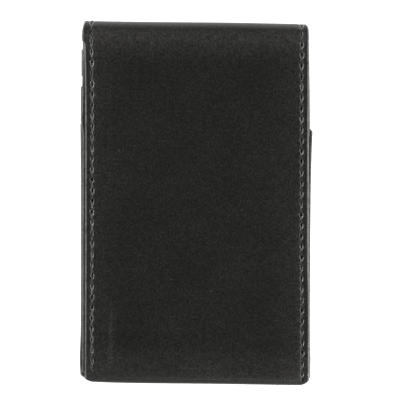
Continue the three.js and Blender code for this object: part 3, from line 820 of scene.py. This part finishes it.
def seam_strands(side, base, way_in, at, run_out, vertices, faces, uvs):
    """Both plies of a seam along a line of points, added to a mesh's lists."""
    sides = STRAND_SIDES
    for strand in (-1, 1):
        across, depth = strand_line(side, strand, at)
        centre_x = side * seam_x(side, at) + across
        centre = base + way_in * (depth + run_out)[:, None]
        first = len(vertices)
        for k in range(len(at)):
            twist = at[k] / STRAND_HALF_TWIST * math.pi * strand
            for c in range(sides):
                angle = 2 * math.pi * c / sides
                radius = STRAND_RADIUS * (1 + STRAND_OVAL * math.cos(2 * (angle - twist)))
                y, z = centre[k] - way_in[k] * radius * math.sin(angle)
                vertices.append((centre_x[k] + radius * math.cos(angle), y, z))
        for k in range(len(at) - 1):
            for c in range(sides):
                d = (c + 1) % sides
                row, after = first + k * sides, first + (k + 1) * sides
                faces.append((row + c, row + d, after + d, after + c))
                u0, u1 = c * STRAND_FACET, (c + 1) * STRAND_FACET
                uvs += [(u0, at[k]), (u1, at[k]), (u1, at[k + 1]), (u0, at[k + 1])]
        for row in (first, first + (len(at) - 1) * sides):
            faces.append(tuple(range(row, row + sides)))
            uvs += [(c * STRAND_FACET, 0.0) for c in range(sides)]


def seam_piece(name, side, rows, s, turn, bodies, start_deg, nodes, inner=None):
    """One side seam over one piece of the cover, in its trough. inner adds its stitches on the inside."""
    outer = grain_points(rows)
    inward = np.array([row[1] for row in rows]) - outer
    inward /= np.linalg.norm(inward, axis=1)[:, None]
    order = np.argsort(s)
    at = spaced(s.min(), min(s.max(), SEAM_END[side]), PITCH / STRAND_ROWS_PER_STITCH)
    base = np.column_stack([np.interp(at, s[order], outer[order, k]) for k in (0, 1)])
    way_in = np.column_stack([np.interp(at, s[order], inward[order, k]) for k in (0, 1)])
    vertices = []
    faces = []
    uvs = []
    run_out = smooth((at - SEAM_END[side] + RUN_OUT_LENGTH) / RUN_OUT_LENGTH) * RUN_OUT_DEPTH
    seam_strands(side, base, way_in, at, run_out, vertices, faces, uvs)
    if inner is not None:
        at, base = inner
        way_in = np.tile((0.0, -1.0), (len(at), 1))
        seam_strands(side, base, way_in, at, np.zeros(len(at)), vertices, faces, uvs)
    vertices = [(x, *turn((y, z))) for x, y, z in vertices]
    made = leather_object(name, vertices, faces, [0] * len(faces), uvs, (THREAD,), 80)
    bend(made, bodies, start_deg, turn)
    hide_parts(*nodes)
    return made


def inner_line(mouth_s, stack, sheets):
    """The seam's line over the inside of one half: on the pocket's face, and past its mouth on the sheets.
    Each sheet is the heights that it spans and the level of its face above the cover's outside."""
    at = spaced(POCKET_SEAM_START, mouth_s + LINING_SEAM_REACH, PITCH / STRAND_ROWS_PER_STITCH)
    y = POCKET_TOP_Y - EDGE_DOME + at - mouth_s
    z = np.full(len(at), stack)
    for low_y, high_y, level in sheets:
        z[(y > max(low_y, POCKET_TOP_Y)) & (y < high_y)] = level
    return at, np.column_stack([y, z])


def seams(half, stack, fold_reach, turn, panel_bodies, spine_bodies, spine_nodes, sheets):
    """All the seams of one half: on both sides, over its panel and over its quarter of the spine."""
    line = half_line(stack, fold_reach)
    line_s = distances(grain_points(line), PANEL_START)
    on_panel = [row[0][1] <= stack / 2 for row in line]
    panel_rows = [row for row, kept in zip(line, on_panel) if kept]
    quarter_rows = spine_rows(-90 + SPINE_STEP_DEG, 0)
    quarter_s = distances(grain_points(quarter_rows), 0.0)
    inner = inner_line(line_s[0], stack, sheets)
    for side, word in ((LEFT, "left"), (RIGHT, "right")):
        seam_piece(f"{half}_seam_{word}", side, panel_rows, line_s[on_panel], turn, panel_bodies, -90,
                   [f"{half}_seam_thread_{word}"], inner)
        seam_piece(f"{half}_spine_seam_{word}", side, quarter_rows, quarter_s, turn, spine_bodies,
                   -90 + SPINE_STEP_DEG, [f"{node}_seam_thread_{word}" for node in spine_nodes])


# ---- Linings and card slots ----


def flat_sheet(name, node, outline, body, grain_up):
    """A flat leather sheet in a CAD node's place. outline holds heights, with half widths left and right."""
    low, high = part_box(node)
    crease_y = high.y - SHEET_CREASE_INSET
    heights = [place[0] for place in outline]
    ys = set(np.round(crease_y + np.linspace(-0.6, 0.6, 9) * MM, 7)) | {heights[-1]}
    for start, end in zip(heights[:-1], heights[1:]):
        ys |= set(spaced(start, end, SHEET_ROW)[:-1])
    ys = np.array(sorted(ys))
    widths = np.column_stack([np.interp(ys, heights, [place[k] for place in outline]) for k in (1, 2)])
    grain_z, flesh_z = (high.z, low.z) if grain_up else (low.z, high.z)
    rows = [(np.array((y, grain_z)), np.array((y, flesh_z))) for y in ys]
    ends = []
    for (grain, flesh), way in ((rows[0], -1.0), (rows[-1], 1.0)):
        pull_in = np.array((way * EDGE_DOME, 0))
        ends.append(rounded_end(grain - pull_in, flesh - pull_in, np.array((way, 0.0))))
    first, last = ends[0][::-1], ends[1]
    rows = [row[:2] for row in first] + rows[1:-1] + [row[:2] for row in last]
    widths = np.concatenate([[widths[0] - row[2] for row in first], widths[1:-1],
                             [widths[-1] - row[2] for row in last]])
    s = np.array([(a[0] + b[0]) / 2 for a, b in rows])
    keep = [0] + [k for k in range(1, len(s)) if s[k] > s[k - 1]]

    def relief(x, at):
        swell = SHEET_SWELL * (1 + np.sin(x / SHEET_SWELL_X))
        return CREASE_DEPTH * bump((at - crease_y) / CREASE_SPREAD) + swell

    made = sweep(name, [rows[k] for k in keep], widths[keep], s[keep], relief, sheet_columns)
    made.data.materials[GRAIN] = LINING_LEATHER
    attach(made, body)
    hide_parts(node)
    return made


def lining_outline(node):
    """A lining flares towards the pocket's mouth."""
    low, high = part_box(node)

    def at(y, extra):
        return (y, *(high.x - LINING_SHRINK[side] + extra[side] for side in SIDES))

    plain = per_side(0.0, 0.0)
    cut = {side: -LINING_CORNER for side in SIDES}
    return [at(low.y, cut), at(low.y + LINING_CORNER, plain), at(POCKET_TOP_Y - LINING_FLARE_LENGTH, plain),
            at(POCKET_TOP_Y, LINING_FLARE), at((POCKET_TOP_Y + high.y) / 2, LINING_MIDDLE_FLARE),
            at(high.y, plain)]


def tab_low_y(level):
    """Where the lower edge of a card slot's tab lies."""
    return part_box(f"front_card_slot_{level}")[1].y - SLOT_TAB_DEPTH - SLOT_TABS[level]["foot"]


def slot_outline(level):
    """A card slot is T-shaped: only its top band, the tab, is as wide as the wallet."""
    low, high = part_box(f"front_card_slot_{level}")
    shrink, shoulder = SLOT_TABS[level]["shrink"], SLOT_TABS[level]["shoulder"]
    tab_y = tab_low_y(level)
    body = SLOT_BODY_HALF_WIDTH

    def tab(y, cut):
        return (y, *(POCKET_HALF_WIDTH - shrink[side] - cut for side in SIDES))

    return [(low.y, body, body), (tab_y - SLOT_TURN, body, body),
            (tab_y - SLOT_TURN / 2, body + SLOT_TURN / 3, body + SLOT_TURN / 3), tab(tab_y, SLOT_TURN),
            tab(tab_y + SLOT_TURN, 0.0), tab(high.y - shoulder, 0.0), tab(high.y, shoulder)]


# ---- The clip's metal, which keeps its CAD shape ----


def finish_metal(node, material, bevel):
    piece = frame["nodes"][node]
    piece.data.materials.clear()
    piece.data.materials.append(material)
    weld = piece.modifiers.new("weld", "WELD")
    weld.merge_threshold = 1e-6
    soften = piece.modifiers.new("soften", "BEVEL")
    soften.width = bevel
    soften.segments = 3
    soften.limit_method = "ANGLE"
    soften.angle_limit = math.radians(40)
    soften.use_clamp_overlap = True
    soften.harden_normals = True


# ---- Floor, light and camera ----


def floor():
    mesh = bpy.data.meshes.new("floor")
    reach = 40.0
    corners = [(-reach, -reach, 0), (reach, -reach, 0), (reach, reach, 0), (-reach, reach, 0)]
    mesh.from_pydata(corners, [], [(0, 1, 2, 3)])
    material, tree, shader = new_material("pale_floor")
    connect(tree, shader, Base_Color=(0.86, 0.86, 0.86, 1), Roughness=0.9, Emission_Color=(1, 1, 1, 1),
            Emission_Strength=0.85)
    mesh.materials.append(material)
    made = bpy.data.objects.new("floor", mesh)
    bpy.context.scene.collection.objects.link(made)


def area_light(name, azimuth_deg, elevation_deg, distance, size, energy):
    """A soft rectangular light that faces the object. Azimuth 0 is at +X and 90 is at +Y."""
    light = bpy.data.lights.new(name, "AREA")
    light.shape = "RECTANGLE"
    light.size = size[0]
    light.size_y = size[1]
    light.energy = energy
    made = bpy.data.objects.new(name, light)
    a, e = math.radians(azimuth_deg), math.radians(elevation_deg)
    way = Vector((math.cos(a) * math.cos(e), math.sin(a) * math.cos(e), math.sin(e)))
    made.location = way * distance
    made.rotation_euler = way.to_track_quat("Z", "Y").to_euler()
    bpy.context.scene.collection.objects.link(made)


def world(strength):
    made = bpy.data.worlds.new("studio")
    made.use_nodes = True
    sky = made.node_tree.nodes["Background"]
    sky.inputs["Color"].default_value = (0.95, 0.97, 1.0, 1)
    sky.inputs["Strength"].default_value = strength
    bpy.context.scene.world = made


def camera():
    """Straight above the front cover, from a little to its left."""
    lens = bpy.data.cameras.new("camera")
    made = bpy.data.objects.new("camera", lens)
    distance = 0.9
    view_width = 122.2 * MM
    lean = math.radians(0.8)
    roll = math.radians(0.12)
    aim = Vector((1.23 * MM, 0.89 * MM, THICKNESS))
    made.location = aim + Vector((-math.sin(lean), 0, math.cos(lean))) * distance
    made.rotation_mode = "XYZ"
    made.rotation_euler = (0, -lean, 0)
    made.rotation_euler.rotate_axis("Z", roll)
    lens.sensor_width = 36.0
    lens.lens = lens.sensor_width * distance / view_width
    lens.clip_start = 0.01
    lens.clip_end = 20
    bpy.context.scene.collection.objects.link(made)
    bpy.context.scene.camera = made


# ---- The wallet ----

cover_piece("back_cover_leather", BACK_STACK, BACK_FOLD_REACH, upright, ("back_half", "lower_spine"),
            ["back_cover"])
cover_piece("front_cover_leather", FRONT_STACK, FRONT_FOLD_REACH, flipped, ("front_half", "upper_spine"),
            ["front_cover"])
spine_piece("back_spine_leather", upright, ("lower_spine", "middle_spine"), ["spine_lower", "spine_middle"])
spine_piece("front_spine_leather", flipped, ("upper_spine", "middle_spine"), ["spine_upper"])

back_sheets = [(BOTTOM_Y, SPINE_Y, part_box("back_lining")[1].z)]
front_sheets = [(BOTTOM_Y, SPINE_Y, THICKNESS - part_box("front_lining")[0].z)]
for level in SLOT_TABS:
    low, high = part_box(f"front_card_slot_{level}")
    front_sheets.append((tab_low_y(level), high.y, THICKNESS - low.z))
seams("back", BACK_STACK, BACK_FOLD_REACH, upright, ("back_half", "lower_spine"),
      ("lower_spine", "middle_spine"), ["spine_lower", "spine_middle"], back_sheets)
seams("front", FRONT_STACK, FRONT_FOLD_REACH, flipped, ("front_half", "upper_spine"),
      ("upper_spine", "middle_spine"), ["spine_upper"], front_sheets)

flat_sheet("back_lining_leather", "back_lining", lining_outline("back_lining"), "back_half", True)
flat_sheet("front_lining_leather", "front_lining", lining_outline("front_lining"), "front_half", False)
for level in SLOT_TABS:
    slot_node = f"front_card_slot_{level}"
    flat_sheet(f"{slot_node}_leather", slot_node, slot_outline(level), "front_half", False)

finish_metal("clip_channel", STEEL, 0.12 * MM)
finish_metal("clip_bail", STEEL, 0.22 * MM)
finish_metal("clip_leaf_spring", SPRING_STEEL, 0.05 * MM)
for word in ("left", "right"):
    finish_metal(f"clip_pin_{word}", STEEL, 0.15 * MM)
    finish_metal(f"clip_rivet_{word}", BRASS, 0.08 * MM)
    finish_metal(f"clip_washer_{word}", BRASS, 0.04 * MM)

floor()
world(0.19)
area_light("left_softbox", 157, 34, 0.7, (0.14, 0.12), 2.8)
area_light("right_softbox", 337, 34, 0.7, (0.14, 0.12), 3.4)
area_light("near_softbox", 285, 34, 0.9, (0.3, 0.14), 1.6)
area_light("far_softbox", 92, 46, 1.2, (0.5, 0.2), 0.8)
camera()
bpy.context.scene.view_settings.view_transform = "Standard"
